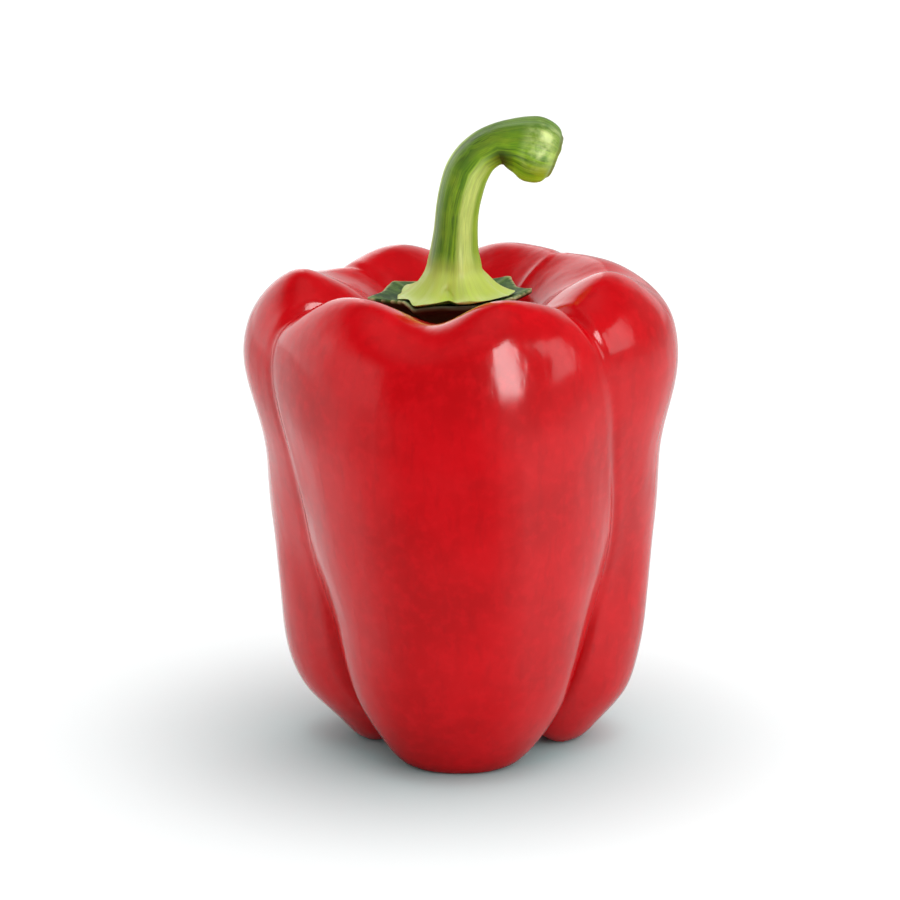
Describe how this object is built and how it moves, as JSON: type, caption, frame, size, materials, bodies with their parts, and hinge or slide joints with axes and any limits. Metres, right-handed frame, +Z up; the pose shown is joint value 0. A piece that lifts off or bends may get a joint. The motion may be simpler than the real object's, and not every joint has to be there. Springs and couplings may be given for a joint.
{
  "type": "bell pepper",
  "caption": "Ripe red blocky bell pepper standing upright on its lobes, with a toothed green calyx and a ribbed, bent, cut green stem.",
  "frame": {"origin": "on the ground, under the middle of the pepper's box", "axes": "+Z up along the pod towards the stem; -Y towards the viewer, out of the widest lobe; +X to the viewer's right, the way the stem bends"},
  "size_m": [0.0866, 0.0856, 0.1276],
  "materials": {
    "skin": "waxy gloss",
    "leaf": "satin",
    "stalk": "satin"
  },
  "bodies": {
    "root": {"pod": "skin", "calyx": "leaf", "stem": "stalk"}
  },
  "joints": []
}
